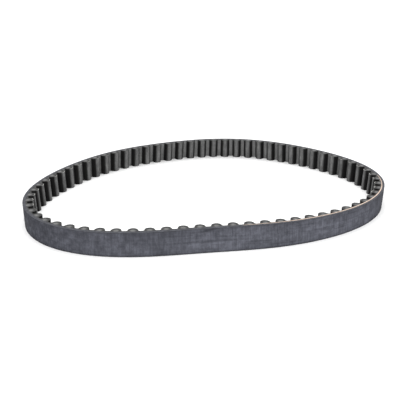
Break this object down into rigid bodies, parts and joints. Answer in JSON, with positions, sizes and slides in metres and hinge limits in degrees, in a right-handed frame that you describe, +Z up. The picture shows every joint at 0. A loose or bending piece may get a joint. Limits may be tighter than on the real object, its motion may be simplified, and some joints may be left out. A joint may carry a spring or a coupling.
{
  "type": "timing belt",
  "caption": "Endless toothed timing belt standing loose on its edge: smooth ground back, round moulded teeth inside, and a loop that squeezes flatter or opens rounder.",
  "frame": {"origin": "bottom centre of the bounding box, on the surface that the belt stands on", "axes": "+Z up, along the pulley axes; X along the longest extent of the resting loop; Y across it"},
  "size_m": [0.1962, 0.1612, 0.012],
  "materials": {
    "backing_rubber": "ground matte",
    "tensile_cord": "twisted fibre, cut ends",
    "tooth_rubber": "cut matte",
    "tooth_fabric": "woven nylon, worn dull"
  },
  "bodies": {
    "span_01": {"span_01_backing": "backing_rubber", "span_01_tensile_cords": "tensile_cord", "span_01_tooth_rubber": "tooth_rubber", "span_01_tooth_fabric": "tooth_fabric"},
    "span_02": {"span_02_backing": "backing_rubber", "span_02_tensile_cords": "tensile_cord", "span_02_tooth_rubber": "tooth_rubber", "span_02_tooth_fabric": "tooth_fabric"},
    "span_03": {"span_03_backing": "backing_rubber", "span_03_tensile_cords": "tensile_cord", "span_03_tooth_rubber": "tooth_rubber", "span_03_tooth_fabric": "tooth_fabric"},
    "span_04": {"span_04_backing": "backing_rubber", "span_04_tensile_cords": "tensile_cord", "span_04_tooth_rubber": "tooth_rubber", "span_04_tooth_fabric": "tooth_fabric"},
    "span_05": {"span_05_backing": "backing_rubber", "span_05_tensile_cords": "tensile_cord", "span_05_tooth_rubber": "tooth_rubber", "span_05_tooth_fabric": "tooth_fabric"},
    "span_06": {"span_06_backing": "backing_rubber", "span_06_tensile_cords": "tensile_cord", "span_06_tooth_rubber": "tooth_rubber", "span_06_tooth_fabric": "tooth_fabric"},
    "span_07": {"span_07_backing": "backing_rubber", "span_07_tensile_cords": "tensile_cord", "span_07_tooth_rubber": "tooth_rubber", "span_07_tooth_fabric": "tooth_fabric"},
    "span_08a": {"span_08a_backing": "backing_rubber", "span_08a_tensile_cords": "tensile_cord", "span_08a_tooth_rubber": "tooth_rubber", "span_08a_tooth_fabric": "tooth_fabric"},
    "span_08b": {"span_08b_backing": "backing_rubber", "span_08b_tensile_cords": "tensile_cord", "span_08b_tooth_rubber": "tooth_rubber", "span_08b_tooth_fabric": "tooth_fabric"},
    "span_09": {"span_09_backing": "backing_rubber", "span_09_tensile_cords": "tensile_cord", "span_09_tooth_rubber": "tooth_rubber", "span_09_tooth_fabric": "tooth_fabric"},
    "span_10": {"span_10_backing": "backing_rubber", "span_10_tensile_cords": "tensile_cord", "span_10_tooth_rubber": "tooth_rubber", "span_10_tooth_fabric": "tooth_fabric"},
    "span_11": {"span_11_backing": "backing_rubber", "span_11_tensile_cords": "tensile_cord", "span_11_tooth_rubber": "tooth_rubber", "span_11_tooth_fabric": "tooth_fabric"},
    "span_12": {"span_12_backing": "backing_rubber", "span_12_tensile_cords": "tensile_cord", "span_12_tooth_rubber": "tooth_rubber", "span_12_tooth_fabric": "tooth_fabric"},
    "span_13": {"span_13_backing": "backing_rubber", "span_13_tensile_cords": "tensile_cord", "span_13_tooth_rubber": "tooth_rubber", "span_13_tooth_fabric": "tooth_fabric"},
    "span_14": {"span_14_backing": "backing_rubber", "span_14_tensile_cords": "tensile_cord", "span_14_tooth_rubber": "tooth_rubber", "span_14_tooth_fabric": "tooth_fabric"}
  },
  "joints": [
    {"name": "bend_01_02", "type": "hinge", "parent": "span_01", "child": "span_02", "pos_m": [0.01493, -0.07107, 0.006], "axis": [0, 0, 1], "range_deg": [-13.5, 10], "stiffness_Nm_per_rad": 0.05},
    {"name": "bend_02_03", "type": "hinge", "parent": "span_02", "child": "span_03", "pos_m": [0.05309, -0.05961, 0.006], "axis": [0, 0, 1], "range_deg": [-7.6, 5.71]},
    {"name": "bend_03_04", "type": "hinge", "parent": "span_03", "child": "span_04", "pos_m": [0.08426, -0.0351, 0.006], "axis": [0, 0, 1], "range_deg": [-1.98, 1.54]},
    {"name": "bend_04_05", "type": "hinge", "parent": "span_04", "child": "span_05", "pos_m": [0.09658, 0.00209, 0.006], "axis": [0, 0, 1], "range_deg": [-8.03, 10.74]},
    {"name": "bend_05_06", "type": "hinge", "parent": "span_05", "child": "span_06", "pos_m": [0.08226, 0.03877, 0.006], "axis": [0, 0, 1], "range_deg": [-8.49, 11.36]},
    {"name": "bend_06_07", "type": "hinge", "parent": "span_06", "child": "span_07", "pos_m": [0.05288, 0.06564, 0.006], "axis": [0, 0, 1], "range_deg": [-4.85, 6.45]},
    {"name": "bend_07_08a", "type": "hinge", "parent": "span_07", "child": "span_08a", "pos_m": [0.01561, 0.07888, 0.006], "axis": [0, 0, 1], "range_deg": [-2.59, 2]},
    {"name": "bend_01_14", "type": "hinge", "parent": "span_01", "child": "span_14", "pos_m": [-0.02451, -0.07772, 0.006], "axis": [0, 0, 1], "range_deg": [-3.16, 4.16]},
    {"name": "bend_14_13", "type": "hinge", "parent": "span_14", "child": "span_13", "pos_m": [-0.06403, -0.07532, 0.006], "axis": [0, 0, 1], "range_deg": [-1.08, 0.88]},
    {"name": "bend_13_12", "type": "hinge", "parent": "span_13", "child": "span_12", "pos_m": [-0.0925, -0.0489, 0.006], "axis": [0, 0, 1], "range_deg": [-13.41, 10.01]},
    {"name": "bend_12_11", "type": "hinge", "parent": "span_12", "child": "span_11", "pos_m": [-0.09433, -0.00962, 0.006], "axis": [0, 0, 1], "range_deg": [-11.39, 8.52]},
    {"name": "bend_11_10", "type": "hinge", "parent": "span_11", "child": "span_10", "pos_m": [-0.07823, 0.02681, 0.006], "axis": [0, 0, 1], "range_deg": [-1.68, 1.32]},
    {"name": "bend_10_09", "type": "hinge", "parent": "span_10", "child": "span_09", "pos_m": [-0.05132, 0.05607, 0.006], "axis": [0, 0, 1], "range_deg": [-9.57, 12.82]},
    {"name": "bend_09_08b", "type": "hinge", "parent": "span_09", "child": "span_08b", "pos_m": [-0.01585, 0.07425, 0.006], "axis": [0, 0, 1], "range_deg": [-9.83, 13.16]}
  ],
  "couplings": [
    {"joint": "bend_02_03", "follows": "bend_01_02", "ratio": 0.5409},
    {"joint": "bend_03_04", "follows": "bend_01_02", "ratio": 0.1242},
    {"joint": "bend_04_05", "follows": "bend_01_02", "ratio": -0.7731},
    {"joint": "bend_05_06", "follows": "bend_01_02", "ratio": -0.8192},
    {"joint": "bend_06_07", "follows": "bend_01_02", "ratio": -0.4554},
    {"joint": "bend_07_08a", "follows": "bend_01_02", "ratio": 0.1699},
    {"joint": "bend_01_14", "follows": "bend_01_02", "ratio": -0.2858},
    {"joint": "bend_14_13", "follows": "bend_01_02", "ratio": 0.058},
    {"joint": "bend_13_12", "follows": "bend_01_02", "ratio": 0.9711},
    {"joint": "bend_12_11", "follows": "bend_01_02", "ratio": 0.8218},
    {"joint": "bend_11_10", "follows": "bend_01_02", "ratio": 0.1024},
    {"joint": "bend_10_09", "follows": "bend_01_02", "ratio": -0.9274},
    {"joint": "bend_09_08b", "follows": "bend_01_02", "ratio": -0.9528}
  ]
}
